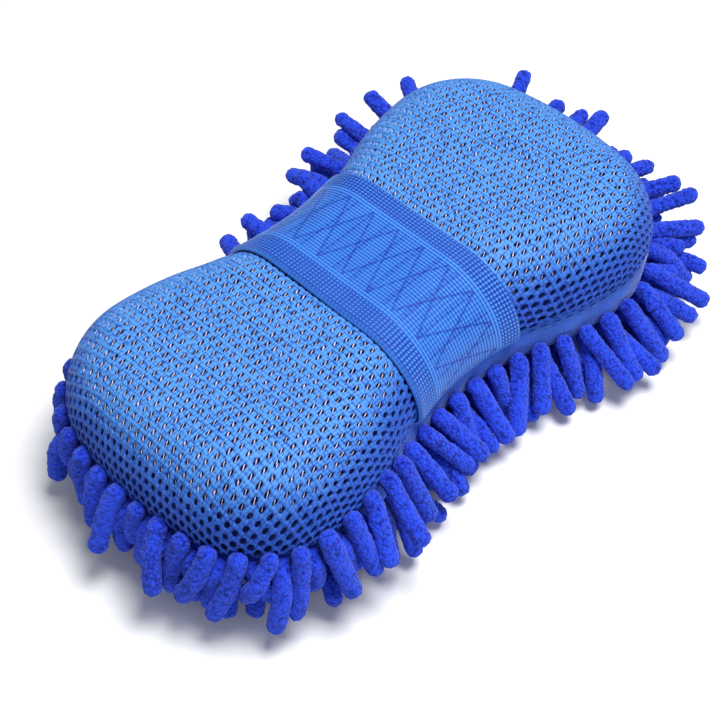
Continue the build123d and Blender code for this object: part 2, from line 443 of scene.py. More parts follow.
def voronoi(tree, vector, scale, randomness=1.0):
    """Distance of a Voronoi texture."""
    made = node(tree, "ShaderNodeTexVoronoi", feature="F1")
    feed(tree, made.inputs["Vector"], vector)
    made.inputs["Scale"].default_value = scale
    made.inputs["Randomness"].default_value = randomness
    return made.outputs["Distance"]


def noise(tree, vector, scale, detail=3.0):
    """Factor of a Noise texture."""
    made = node(tree, "ShaderNodeTexNoise")
    feed(tree, made.inputs["Vector"], vector)
    made.inputs["Scale"].default_value = scale
    made.inputs["Detail"].default_value = detail
    return made.outputs[0]


def between(tree, factor, low, high, from_low=0.0, from_high=1.0):
    """A colour from low to high as factor goes between its two ends."""
    ramp = node(tree, "ShaderNodeValToRGB")
    feed(tree, ramp.inputs["Fac"], factor)
    ramp.color_ramp.elements[0].position = from_low
    ramp.color_ramp.elements[1].position = from_high
    ramp.color_ramp.elements[0].color = (*low, 1)
    ramp.color_ramp.elements[1].color = (*high, 1)
    return ramp.outputs["Color"]


def bump(tree, shader, height, distance):
    """Bump on a shader."""
    made = node(tree, "ShaderNodeBump")
    made.inputs["Distance"].default_value = distance
    made.inputs["Strength"].default_value = 1.0
    feed(tree, made.inputs["Height"], height)
    tree.links.new(made.outputs["Normal"], shader.inputs["Normal"])


# ---------------------------------------------------------------- materials


def net_material(colours):
    """Knitted loops of the net's outer face, with painted shade between the loops and partly painted shade on
    the sides.
    """
    material, tree, shader = start_material("spacer net", 0.62, 0.08)
    loops = voronoi(tree, stretched(tree, fabric_uv(tree), (620, 900, 1)), 1.0, 0.35)
    cloudy = noise(tree, object_place(tree), 90)
    # The loops are lighter in their middles and darker at their edges, as painted shade; cloudy adds random
    # tone.
    mixed = maths(tree, "MULTIPLY_ADD", cloudy, 0.25, maths(tree, "SUBTRACT", 0.85, loops))
    relaxed = between(tree, mixed, colours.net_shade, colours.net, 0.28, 0.6)
    # Lower down the sides the net takes these darker colours, partly its own and partly painted shade.
    pulled = between(tree, mixed, colours.net_side_loop_shade, colours.net_side_shaded, 0.2, 0.62)
    stretch_and_side_shade = node(tree, "ShaderNodeAttribute", attribute_name="stretch_and_side_shade").outputs["Fac"]
    both = node(tree, "ShaderNodeMix", data_type="RGBA")
    feed(tree, both.inputs[0], stretch_and_side_shade)
    feed(tree, both.inputs[6], relaxed)
    feed(tree, both.inputs[7], pulled)
    feed(tree, shader.inputs["Base Color"], both.outputs[2])
    bump(tree, shader, maths(tree, "SUBTRACT", 1.0, loops), 0.25 * MM)
    return material


def backing_material(colours):
    """Dark knit of the net's inner face, with painted shade between its loops."""
    material, tree, shader = start_material("net backing", 0.85, 0.05)
    loops = voronoi(tree, stretched(tree, fabric_uv(tree), (700, 1000, 1)), 1.0, 0.4)
    # deep: painted shade at the edges of the loops, where the bump is lowest.
    deep = [value * 0.5 for value in colours.backing]
    feed(tree, shader.inputs["Base Color"], between(tree, loops, colours.backing, deep, 0.1, 0.7))
    bump(tree, shader, maths(tree, "SUBTRACT", 1.0, loops), 0.3 * MM)
    return material


def pile_material(colours):
    """Pale spacer threads."""
    material, tree, shader = start_material("spacer pile", 0.45, 0.1)
    cloudy = noise(tree, object_place(tree), 400)
    dull = [value * 0.55 for value in colours.pile]
    feed(tree, shader.inputs["Base Color"], between(tree, cloudy, dull, colours.pile, 0.35, 0.6))
    return material


def strap_material(colours):
    """Woven elastic: raised yarns lighter than the ground, partly its own woven pattern and partly painted
    shade, with fine ribs along it.
    """
    material, tree, shader = start_material("woven elastic", 0.55, 0.2)
    raised = node(tree, "ShaderNodeAttribute", attribute_name="raised").outputs["Fac"]
    uv = node(tree, "ShaderNodeSeparateXYZ")
    feed(tree, uv.inputs[0], fabric_uv(tree))
    ribs = maths(tree, "SINE", maths(tree, "MULTIPLY", uv.outputs["X"], 2 * math.pi / (YARN_PITCH * MM)))
    picks = maths(tree, "SINE", maths(tree, "MULTIPLY", uv.outputs["Y"], 2 * math.pi / (PICK_PITCH * MM)))
    weave = maths(tree, "MULTIPLY_ADD", picks, 0.08, maths(tree, "MULTIPLY", ribs, 0.06))
    cloudy = maths(tree, "MULTIPLY_ADD", noise(tree, object_place(tree), 160), 0.2, -0.1)
    # The colour follows the relief: lighter where raised, partly the weave's own pattern, partly painted
    # shade in the grooves.
    level = maths(tree, "ADD", maths(tree, "ADD", raised, weave), cloudy)
    feed(tree, shader.inputs["Base Color"],
         between(tree, level, colours.strap_shade, colours.strap, 0.1, 0.85))
    bump(tree, shader, weave, 0.6 * MM)
    return material


def cloth_material(colours):
    """Plain knit with upright wales, with painted shade between them."""
    material, tree, shader = start_material("side cloth", 0.75, 0.3)
    wales = voronoi(tree, stretched(tree, fabric_uv(tree), (1000, 700, 1)), 1.0, 0.3)
    cloudy = noise(tree, object_place(tree), 70)
    # Darker between the wales as painted shade, and in clouds of random tone.
    deep = [value * 0.55 for value in colours.cloth]
    level = maths(tree, "MULTIPLY_ADD", cloudy, 0.5, maths(tree, "MULTIPLY", wales, -0.35))
    feed(tree, shader.inputs["Base Color"], between(tree, level, deep, colours.cloth, -0.1, 0.3))
    bump(tree, shader, maths(tree, "SUBTRACT", 1.0, wales), 0.15 * MM)
    return material


def noodle_material(colours):
    """Chenille: soft terry crests, with painted shade in the crevices between its lumps."""
    material, tree, shader = start_material("terry chenille", 0.95, 0.3)
    shader.inputs["Specular IOR Level"].default_value = 0.1
    shader.inputs["Sheen Roughness"].default_value = 0.6
    shader.inputs["Sheen Tint"].default_value = (0.35, 0.5, 1.0, 1.0)
    place = object_place(tree)
    lumps = node(tree, "ShaderNodeAttribute", attribute_name="lump").outputs["Fac"]
    terry = voronoi(tree, place, 950, 1.0)
    fuzz = noise(tree, place, 1800, 2.0)
    tone = noise(tree, place, 45, 1.0)
    # Painted shade: darker in the crevices between lumps and terry loops, lighter on the crests; tone and
    # fuzz add random variation.
    level = maths(tree, "MULTIPLY_ADD", terry, -0.9, maths(tree, "MULTIPLY_ADD", lumps, 0.6, 0.7))
    level = maths(tree, "MULTIPLY_ADD", maths(tree, "SUBTRACT", tone, 0.5), 0.5, level)
    level = maths(tree, "MULTIPLY_ADD", maths(tree, "SUBTRACT", fuzz, 0.5), 0.6, level)
    feed(tree, shader.inputs["Base Color"],
         between(tree, level, colours.noodle_shade, colours.noodle, -0.2, 0.65))
    height = maths(tree, "MULTIPLY_ADD", fuzz, 0.6, maths(tree, "MULTIPLY", terry, -1.0))
    bump(tree, shader, height, 0.6 * MM)
    return material


def thread_material(colours):
    """Twisted sewing thread, darker in the hollows of its twist as painted shade."""
    material, tree, shader = start_material("sewing thread", 0.5, 0.2)
    twist = noise(tree, stretched(tree, object_place(tree), (1, 1, 2.5)), 900)
    # deep: painted shade in the hollows of the twist.
    deep = [value * 0.5 for value in colours.thread]
    feed(tree, shader.inputs["Base Color"], between(tree, twist, deep, colours.thread, 0.35, 0.6))
    bump(tree, shader, twist, 0.1 * MM)
    return material


def foam_material(colours):
    """Open-cell foam, with painted shade in its pores."""
    material, tree, shader = start_material("pad foam", 0.95, 0.0)
    cells = voronoi(tree, object_place(tree), 900)
    # deep: painted shade in the foam's pores, where the cells are lowest.
    deep = [value * 0.6 for value in colours.foam]
    feed(tree, shader.inputs["Base Color"], between(tree, cells, deep, colours.foam, 0.05, 0.5))
    bump(tree, shader, cells, 0.4 * MM)
    return material


def material_of(name, make):
    """A finish by name, made the first time it is asked for."""
    return bpy.data.materials.get(name) or make(bpy.context.scene.wash_mitt_colours)


# ---------------------------------------------------------------- geometry node trees


def start_tree(name, inputs):
    """A geometry tree with named inputs: its group input and group output nodes come back with it."""
    tree = bpy.data.node_groups.new(name, "GeometryNodeTree")
    tree.interface.new_socket("Geometry", in_out="INPUT", socket_type="NodeSocketGeometry")
    for label, kind in inputs:
        tree.interface.new_socket(label, in_out="INPUT", socket_type="NodeSocket" + kind)
    tree.interface.new_socket("Geometry", in_out="OUTPUT", socket_type="NodeSocketGeometry")
    return tree, node(tree, "NodeGroupInput"), node(tree, "NodeGroupOutput")


def end_tree(tree, geometry, given, result):
    """Realizes the instances, sets the material and closes the tree."""
    real = node(tree, "GeometryNodeRealizeInstances")
    feed(tree, real.inputs["Geometry"], geometry)
    soft = node(tree, "GeometryNodeSetShadeSmooth")
    feed(tree, soft.inputs["Geometry"], real.outputs["Geometry"])
    paint = node(tree, "GeometryNodeSetMaterial")
    feed(tree, paint.inputs["Geometry"], soft.outputs["Geometry"])
    feed(tree, paint.inputs["Material"], given.outputs["Material"])
    feed(tree, result.inputs["Geometry"], paint.outputs["Geometry"])


def named(tree, kind, name):
    """A named attribute's value."""
    made = node(tree, "GeometryNodeInputNamedAttribute", data_type=kind)
    made.inputs["Name"].default_value = name
    return made.outputs["Attribute"]


def strand_tree():
    """Lays a short round strand on each point, along its own direction and facing its own way."""
    tree, given, result = start_tree("lay strands", [
        ("Length", "Float"), ("Radius", "Float"), ("Sides", "Int"), ("Rings", "Int"),
        ("Material", "Material")])
    ball = node(tree, "GeometryNodeMeshUVSphere")
    feed(tree, ball.inputs["Segments"], given.outputs["Sides"])
    feed(tree, ball.inputs["Rings"], given.outputs["Rings"])
    ball.inputs["Radius"].default_value = 1.0
    shape = node(tree, "ShaderNodeCombineXYZ")
    feed(tree, shape.inputs["X"], given.outputs["Radius"])
    feed(tree, shape.inputs["Y"], given.outputs["Radius"])
    feed(tree, shape.inputs["Z"], maths(tree, "MULTIPLY", given.outputs["Length"], 0.5))
    along = node(tree, "FunctionNodeAlignRotationToVector", axis="Z")
    feed(tree, along.inputs["Vector"], named(tree, "FLOAT_VECTOR", "along"))
    facing = node(tree, "FunctionNodeAlignRotationToVector", axis="X", pivot_axis="Z")
    feed(tree, facing.inputs["Rotation"], along.outputs["Rotation"])
    feed(tree, facing.inputs["Vector"], named(tree, "FLOAT_VECTOR", "facing"))
    lay = node(tree, "GeometryNodeInstanceOnPoints")
    feed(tree, lay.inputs["Points"], given.outputs["Geometry"])
    feed(tree, lay.inputs["Instance"], ball.outputs["Mesh"])
    feed(tree, lay.inputs["Rotation"], facing.outputs["Rotation"])
    feed(tree, lay.inputs["Scale"], scaled(tree, shape.outputs[0], named(tree, "FLOAT", "size")))
    end_tree(tree, lay.outputs["Instances"], given, result)
    return tree


def noodle_tree():
    """Sweeps a round, lumpy noodle with domed ends along each middle line."""
    tree, given, result = start_tree("sweep noodles", [
        ("Radius", "Float"), ("Around", "Int"), ("Along", "Int"), ("Lump Height", "Float"),
        ("Lump Scale", "Float"), ("Material", "Material")])
    lines = node(tree, "GeometryNodeMeshToCurve")
    feed(tree, lines.inputs["Mesh"], given.outputs["Geometry"])
    soft = node(tree, "GeometryNodeCurveSplineType", spline_type="CATMULL_ROM")
    feed(tree, soft.inputs["Curve"], lines.outputs["Curve"])
    even = node(tree, "GeometryNodeResampleCurve")
    feed(tree, even.inputs["Curve"], soft.outputs["Curve"])
    feed(tree, even.inputs["Count"], given.outputs["Along"])
    place = node(tree, "GeometryNodeSplineParameter")
    whole = node(tree, "GeometryNodeSplineLength")
    to_end = maths(tree, "SUBTRACT", whole.outputs["Length"], place.outputs["Length"])
    near_end = maths(tree, "MINIMUM", place.outputs["Length"], to_end)
    part = maths(tree, "MINIMUM", maths(tree, "DIVIDE", near_end, given.outputs["Radius"]), 1.0)
    dip = maths(tree, "SUBTRACT", 1.0, part)
    dome = maths(tree, "SQRT", maths(tree, "SUBTRACT", 1.0, maths(tree, "MULTIPLY", dip, dip)))
    waver = node(tree, "ShaderNodeTexNoise")
    waver.inputs["Scale"].default_value = 150.0
    swell = maths(tree, "MULTIPLY_ADD", waver.outputs[0], 0.3, 0.85)
    width = maths(tree, "MULTIPLY", swell, maths(tree, "MAXIMUM", dome, 0.12))
    width = maths(tree, "MULTIPLY", width, named(tree, "FLOAT", "size"))
    circle = node(tree, "GeometryNodeCurvePrimitiveCircle")
    feed(tree, circle.inputs["Resolution"], given.outputs["Around"])
    feed(tree, circle.inputs["Radius"], given.outputs["Radius"])
    sweep = node(tree, "GeometryNodeCurveToMesh")
    feed(tree, sweep.inputs["Curve"], even.outputs["Curve"])
    feed(tree, sweep.inputs["Scale"], width)
    feed(tree, sweep.inputs["Profile Curve"], circle.outputs["Curve"])
    sweep.inputs["Fill Caps"].default_value = True
    terry = node(tree, "ShaderNodeTexVoronoi", feature="SMOOTH_F1")
    feed(tree, terry.inputs["Scale"], given.outputs["Lump Scale"])
    terry.inputs["Smoothness"].default_value = 0.3
    lump = maths(tree, "SUBTRACT", 1.0, maths(tree, "MULTIPLY", terry.outputs["Distance"], 1.25))
    # The lumps' height is kept for the shader, which paints shade between them.
    keep = node(tree, "GeometryNodeStoreNamedAttribute", data_type="FLOAT", domain="POINT")
    keep.inputs["Name"].default_value = "lump"
    feed(tree, keep.inputs["Geometry"], sweep.outputs["Mesh"])
    feed(tree, keep.inputs["Value"], lump)
    normal = node(tree, "GeometryNodeInputNormal")
    height = maths(tree, "MULTIPLY", maths(tree, "SUBTRACT", lump, 0.4), given.outputs["Lump Height"])
    move = node(tree, "GeometryNodeSetPosition")
    feed(tree, move.inputs["Geometry"], keep.outputs["Geometry"])
    feed(tree, move.inputs["Offset"], scaled(tree, normal.outputs[0], height))
    end_tree(tree, move.outputs["Geometry"], given, result)
    return tree


def tree_of(name, make):
    """A geometry tree by name, made the first time it is asked for."""
    return bpy.data.node_groups.get(name) or make()


def grow(name, points, edges, values, attributes, tree):
    """Runs a geometry tree on points or lines and returns the result as a plain mesh piece."""
    seed_mesh = bpy.data.meshes.new(name + "_seed")
    seed_mesh.from_pydata(np.asarray(points).tolist(), edges, [])
    for label, data in attributes.items():
        data = np.asarray(data, np.float32)
        kind, field = ("FLOAT_VECTOR", "vector") if data.ndim == 2 else ("FLOAT", "value")
        seed_mesh.attributes.new(label, kind, "POINT").data.foreach_set(field, data.ravel())
    seed = bpy.data.objects.new(name + "_seed", seed_mesh)
    bpy.context.scene.collection.objects.link(seed)
    modifier = seed.modifiers.new("grow", "NODES")
    modifier.node_group = tree
    for item in tree.interface.items_tree:
        if item.in_out == "INPUT" and item.name in values:
            modifier[item.identifier] = values[item.name]
    bpy.context.view_layer.update()
    grown = seed.evaluated_get(bpy.context.evaluated_depsgraph_get())
    mesh = bpy.data.meshes.new_from_object(grown)
    mesh.name = name
    obj = bpy.data.objects.new(name, mesh)
    bpy.context.scene.collection.objects.link(obj)
    bpy.data.objects.remove(seed)
    return obj


# ---------------------------------------------------------------- the net cover


def net_cells(sizes):
    """Flat centres of the net's eyelets, row after row, as far as the hem."""
    rows = int(PAD_LENGTH / sizes.cell_length)
    columns = int(LOBE_WIDTH / sizes.cell_width)
    centres = [
        (row * sizes.cell_length, (column + 0.5 * (row % 2)) * sizes.cell_width)
        for row in range(-rows, rows + 1) for column in range(-columns, columns + 1)
    ]
    centres = np.array(centres) + [0.5 * sizes.cell_length, 0]
    run = over_pad(centres)[1]
    kept = run < HEM_RUN + NET_PAST_HEM
    return centres[kept], run[kept]


def cell_edge(sizes):
    """The closed border of a cell: a hexagon long in x, two steps to each side."""
    tip = EYELET_TIP * sizes.cell_length
    shoulder = sizes.cell_length - tip
    half = sizes.cell_width / 2
    corners = np.array([
        (tip, 0), (shoulder, half), (-shoulder, half), (-tip, 0), (-shoulder, -half), (shoulder, -half)])
    after = np.roll(corners, -1, axis=0)
    return np.vstack([
        start + (finish - start) * step / EDGE_STEPS
        for start, finish in zip(corners, after) for step in range(EDGE_STEPS)])


def net_mesh(sizes, centres, run, draw):
    """Points, faces and flat places of the perforated outer face, one eyelet to a cell."""
    edge = cell_edge(sizes)
    turn = np.arctan2(edge[:, 1] / (sizes.cell_width / 2), edge[:, 0] / (EYELET_TIP * sizes.cell_length))
    around = len(edge)
    openness = smooth(run, *EYELETS_OPEN)
    vary = draw.normal(1, EYELET_SPREAD, len(centres))
    length = (EYELET_LENGTH[0] + EYELET_LENGTH[1] * openness) * MM * vary
    width = (EYELET_WIDTH[0] + EYELET_WIDTH[1] * openness) * MM * vary
    hole = np.stack([length[:, None] * np.cos(turn), width[:, None] * np.sin(turn)], axis=2)
    border = np.broadcast_to(edge, hole.shape)
    depth = sizes.net_depth
    crown, rim = 0.08 * MM, -0.3 * MM
    rings = [
        (border, 0.0), (hole * 0.6 + border * 0.4, crown), (hole, rim), (hole * 0.94, -depth),
        (border, -depth - 0.1 * MM)]
    flat = np.stack([centres[:, None] + ring for ring, _ in rings], axis=1)
    lift = np.concatenate([np.full(around, height) for _, height in rings])
    lift = np.tile(lift, len(centres))
    flat = flat.reshape(-1, 2)
    points = over_pad(flat, lift)[0]
    one = np.array(ring_faces(len(rings), around))
    faces = (one[None] + (np.arange(len(centres)) * around * len(rings))[:, None, None]).reshape(-1, 4)
    # How far each cell is down the sides, where the net takes darker colours that are partly painted shade.
    stretch_and_side_shade = np.repeat(smooth(run, *NET_STRETCH_AND_SHADE), around * len(rings))
    return points, faces, flat, stretch_and_side_shade


class MITT_OT_net(bpy.types.Operator):
    """Makes the spacer net: the perforated outer face in two halves, its backing and the pile between"""

    bl_idname = "mitt.net"
    bl_label = "Net Cover"

    def execute(self, context):
        sizes = context.scene.wash_mitt_sizes
        centres, run = net_cells(sizes)
        draw = np.random.default_rng(sizes.seed)
        net = material_of("spacer net", net_material)
        for name, chosen in (("net_front", centres[:, 0] > 0), ("net_back", centres[:, 0] < 0)):
            points, faces, flat, stretch_and_side_shade = net_mesh(sizes, centres[chosen], run[chosen], draw)
            half = piece(name, points, faces, net, flat, weld=True, extra={"stretch_and_side_shade": stretch_and_side_shade})
            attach(half, "root")
        backing = self.backing(sizes, centres)
        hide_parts("net_cover")
        self.pile(sizes, centres, run, draw)
        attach(backing, "root")
        return {"FINISHED"}

    @staticmethod
    def backing(sizes, centres):
        """The inner face, one shallow dimple to a cell."""
        edge = cell_edge(sizes)[::EDGE_STEPS]
        flat = np.concatenate([centres[:, None], centres[:, None] + edge], axis=1).reshape(-1, 2)
        lift = np.tile([-sizes.spacer_depth - 0.4 * MM] + [-sizes.spacer_depth] * 6, len(centres))
        points = over_pad(flat, lift)[0]
        one = np.array([(0, step + 1, (step + 1) % 6 + 1) for step in range(6)])
        faces = (one[None] + (np.arange(len(centres)) * 7)[:, None, None]).reshape(-1, 3)
        material = material_of("net backing", backing_material)
        return piece("net_backing", points, faces, material, flat, weld=True)

    @staticmethod
    def pile(sizes, centres, run, draw):
        """Two pale threads across each eyelet, lengthways, smaller and lower down the sides."""
        spots, aims, facings, grown = [], [], [], []
        fade = 1 - smooth(run, *PILE_FADE)
        shown = fade > 0.1
        centres, fade = centres[shown], fade[shown]
        count = len(centres)
        for side in (-1, 1):
            lengthways = side * PILE_PLACE[0] + draw.normal(0, PILE_WANDER[0], count)
            sideways = side * PILE_PLACE[1] + draw.normal(0, PILE_WANDER[1], count)
            flat = centres + np.c_[lengthways, sideways] * MM
            lift = -PILE_DEPTH[0] - PILE_DEPTH[1] * (1 - fade)
            middle = over_pad(flat, lift)[0]
            ahead = over_pad(flat + [0.5 * MM, 0.2 * MM], lift + draw.normal(0, 0.08, count) * MM)[0]
            above = over_pad(flat, lift + 1 * MM)[0]
            spots.append(middle)
            aims.append(ahead - middle)
            facings.append(above - middle)
            grown.append((0.2 + 0.8 * fade) * draw.uniform(0.75, 1.1, count))
        pile = grow(
            "net_pile", np.vstack(spots), [],
            {"Length": 1.9 * MM, "Radius": 0.175 * MM, "Sides": 6, "Rings": 4,
             "Material": material_of("spacer pile", pile_material)},
            {"along": np.vstack(aims), "facing": np.vstack(facings), "size": np.concatenate(grown)},
            tree_of("lay strands", strand_tree))
        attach(pile, "root")
        return pile


# ---------------------------------------------------------------- foam, side cloth and thread


def spine_rings(ring, steps):
    """Rings that draw a ring in to the line along the middle of the pad, keeping their order."""
    spine = np.c_[ring[:, 0] * SPINE_REACH, np.zeros(len(ring))]
    return [ring + (spine - ring) * step / steps for step in range(1, steps + 1)]


def level_ring(ring, height):
    """A flat ring's points at one height."""
    return np.c_[ring, np.full(len(ring), height)]


class MITT_OT_foam(bpy.types.Operator):
    """Makes the foam pad that fills the cover"""

    bl_idname = "mitt.foam"
    bl_label = "Foam Pad"

    def execute(self, context):
        top = PAD_TOP - FOAM_GAP
        round_off = TOP_ROUNDING - FOAM_GAP
        bottom = SOLE_HEIGHT + 2.2 * MM
        turns = np.linspace(0, math.pi / 2, 7)
        under = [(FOAM_FOOT_INSET, bottom), (5.4 * MM, bottom + 1.6 * MM), (4.8 * MM, bottom + 5 * MM),
                 (FOAM_GAP + 0.5 * MM, HEM_HEIGHT + 4 * MM)]
        wall = [(TOP_ROUNDING - round_off * math.cos(turn), top - round_off * (1 - math.sin(turn)))
                for turn in turns]
        profile = under + wall
        fine, steps = 2, 6
        rings = [level_ring(outline(inset, fine), height) for inset, height in profile]
        low = [level_ring(ring, bottom) for ring in spine_rings(outline(FOAM_FOOT_INSET, fine), steps)][::-1]
        high = [level_ring(ring, top) for ring in spine_rings(outline(TOP_ROUNDING, fine), steps)]
        points = np.vstack(low + rings + high)
        swell = np.sin(points[:, 0] / (17 * MM)) * np.sin(points[:, 1] / (15 * MM))
        points[:, 2] += np.where(points[:, 2] > HEM_HEIGHT, 0.4 * MM * swell, 0)
        faces = ring_faces(len(low + rings + high), len(rings[0]))
        foam = piece("foam_pad", points, faces, material_of("pad foam", foam_material), weld=True)
        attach(foam, "root")
        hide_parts("foam_core")
        return {"FINISHED"}


def pucker(points, depth):
    """Folds that the noodles' stitching draws in the side cloth, for points all round the pad."""
    turn = np.arctan2(points[:, 1] / LOBE_WIDTH, points[:, 0] / PAD_LENGTH)
    folds = sum(share * np.sin(waves * turn + start + slant * depth) for share, waves, start, slant in FOLDS)
    return folds * FOLD_HEIGHT * MM


def cloth_rings():
    """Insets and heights of the side cloth, from inside the hem down over the side to the sole's edge."""
    lip = HEM_HEIGHT + 1.3 * MM
    inside = [(3.4 * MM, lip - 0.5 * MM), (2.2 * MM, lip), (1.3 * MM, lip - 0.1 * MM)]
    side = [
        (2.0 * MM - 1.9 * MM * math.sin(math.pi * t) * 0.4 - 1.3 * MM * t,
         HEM_HEIGHT + 0.5 * MM - t * 11.5 * MM)
        for t in np.linspace(0, 1, 9)]
    foot = [(1.1 * MM, SOLE_HEIGHT + 1.4 * MM), (2.6 * MM, SOLE_HEIGHT + 0.3 * MM),
            (CLOTH_SOLE_INSET, SOLE_HEIGHT)]
    return inside + side + foot


class MITT_OT_cloth(bpy.types.Operator):
    """Makes the side cloth with the sole in one, and the stitches of the hem and the sole"""

    bl_idname = "mitt.cloth"
    bl_label = "Side Cloth"

    def execute(self, context):
        sizes = context.scene.wash_mitt_sizes
        fine = 4
        rings, flats = [], []
        perimeter = outline(0, fine)
        step = np.linalg.norm(np.roll(perimeter, -1, axis=0) - perimeter, axis=1)
        along = np.concatenate([[0], np.cumsum(step)[:-1]])
        for inset, height in cloth_rings():
            ring = outline(inset, fine)
            _, _, outward = past_edge(ring, inset)
            depth = (HEM_HEIGHT - height) / (HEM_HEIGHT - SOLE_HEIGHT)
            strength = math.sin(math.pi * min(max(depth, 0), 1))
            ring = ring + outward * (pucker(ring, depth) * strength)[:, None]
            rings.append(level_ring(ring, height))
            flats.append(np.c_[along, np.full(len(ring), height)])
        for ring in spine_rings(outline(CLOTH_SOLE_INSET, fine), 7):
            rings.append(level_ring(ring, SOLE_HEIGHT))
            flats.append(ring)
        faces = [face[::-1] for face in ring_faces(len(rings), len(perimeter))]
        cloth = piece("side_cloth", np.vstack(rings), faces, material_of("side cloth", cloth_material),
                      np.vstack(flats), weld=True)
        wall = cloth.modifiers.new("thickness", "SOLIDIFY")
        wall.thickness = 0.8 * MM
        wall.offset = -1
        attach(cloth, "root")
        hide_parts("base_cloth")
        self.hem_thread(sizes)
        self.sole_thread(sizes)
        return {"FINISHED"}

    @staticmethod
    def hem_thread(sizes):
        """A run of stitches all round, just below the hem, left out under the strap's ends."""
        inset = 1.0 * MM
        height = HEM_HEIGHT - 1.2 * MM
        path = outline(inset, 8)
        reach = np.concatenate([[0], np.cumsum(np.linalg.norm(np.diff(path, axis=0), axis=1))])
        count = int(reach[-1] / (sizes.stitch_length * HEM_PITCH))
        places = np.linspace(0, reach[-1], count, endpoint=False)
        spots, ahead = (
            np.c_[np.interp(where, reach, path[:, 0]), np.interp(where, reach, path[:, 1])]
            for where in (places, places + 1 * MM))
        clear = np.abs(spots[:, 0]) > STRAP_WIDTH / 2 + 3 * MM
        outward = past_edge(spots, inset)[2]
        thread = stitches(
            "hem_thread", sizes, level_ring(spots, height)[clear], level_ring(ahead - spots, 0.0)[clear],
            level_ring(outward, 0.0)[clear], sizes.stitch_length)
        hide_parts("hem_stitches")

    @staticmethod
    def sole_thread(sizes):
        """Thread between the noodles of each sole row."""
        spots = []
        for row in SOLE_ROWS:
            roots = sorted(root[:2].tolist() for root, _, _ in noodle_axes(f"sole_row_{row}"))
            for here, there in zip(roots, roots[1:]):
                if there[0] - here[0] < SOLE_GAP:
                    spots.append(((here[0] + there[0]) / 2, here[1], SOLE_HEIGHT - 0.1 * MM))
        spots = np.array(spots)
        aims = np.tile([1.0, 0, 0], (len(spots), 1))
        facing = np.tile([0, 0, -1.0], (len(spots), 1))
        thread = stitches("sole_thread", sizes, spots, aims, facing, 4 * MM)
        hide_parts("sole_stitches")


def stitches(name, sizes, spots, aims, facings, length):
    """A piece of stitches, one on each spot."""
    thread = grow(
        name, spots, [],
        {"Length": length, "Radius": sizes.thread_radius, "Sides": 8, "Rings": 6,
         "Material": material_of("sewing thread", thread_material)},
        {"along": aims, "facing": facings, "size": np.ones(len(spots))},
        tree_of("lay strands", strand_tree))
    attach(thread, "root")
    return thread


# ---------------------------------------------------------------- the strap


def waist_edge(across, inset):
    """The outline's y at x = across, near the waist."""
    return WAIST[1] - np.sqrt((WAIST_RADIUS + inset) ** 2 - across**2)


def strap_point(across, along, lift):
    """A point of the strap: across in x, along from the middle of the top, lift above its underside."""
    side = np.where(along < 0, -1.0, 1.0)
    away = np.abs(along)
    top_half = waist_edge(across, TOP_ROUNDING)
    base_gap = 0.4 * MM
    bend = TOP_ROUNDING + base_gap
    quarter = math.pi / 2 * bend
    past = np.maximum(away - top_half, 0)
    turn = np.minimum(past, quarter) / bend
    down = np.maximum(past - quarter, 0)
    drop = down / WALL_HEIGHT
    out = (bend + lift) * np.sin(turn) - HEM_TUCK * 0.75 * drop**2
    y = np.where(away < top_half, away, waist_edge(across, TOP_ROUNDING - out))
    z = PAD_TOP - TOP_ROUNDING + (bend + lift) * np.cos(turn) - down
    return np.stack([across + 0 * along, y * side, z], axis=-1)


def ridge(value, pitch):
    """From 0 to 1 and back once in each pitch."""
    return 0.5 + 0.5 * np.cos(2 * math.pi * value / pitch)


def strap_relief(across, along):
    """How raised the elastic's yarns are, from 0 to 1, at places in millimetres from its middle."""
    dash = ridge(along, PICK_PITCH)
    beads = (dash * ridge(across, RIB_PITCH)) ** 0.8
    ribs = 0.12 + 0.8 * ridge(across, RIB_PITCH)
    picks = ribs * (0.75 + 0.25 * dash)
    for shift in (0.0, 1.0):
        twill = np.abs((along / TWILL_PITCH + shift) % 2 - 1)
        line = np.abs(across - 0.8 - (twill - 0.5) * TWILL_WIDTH)
        picks = picks * (1 - 0.95 * np.exp(-((line / 0.95) ** 2)) * (0.45 + 0.55 * dash))
    break_line = np.abs((along / BREAK_PITCH) % 1 - 0.5) * BREAK_PITCH
    picks = picks * (1 - 0.7 * np.exp(-((break_line / 0.7) ** 2)) * ridge(across + 0.6, 2 * RIB_PITCH))
    edge_near = 0.25 + 0.7 * np.exp(-(((across + 25.2) / 0.6) ** 2))
    edge_far = np.full_like(across, 0.9)
    bands = [across < border for border in STRAP_BANDS]
    return np.select(bands, [edge_near, beads, ribs, picks, ribs, beads], edge_far)


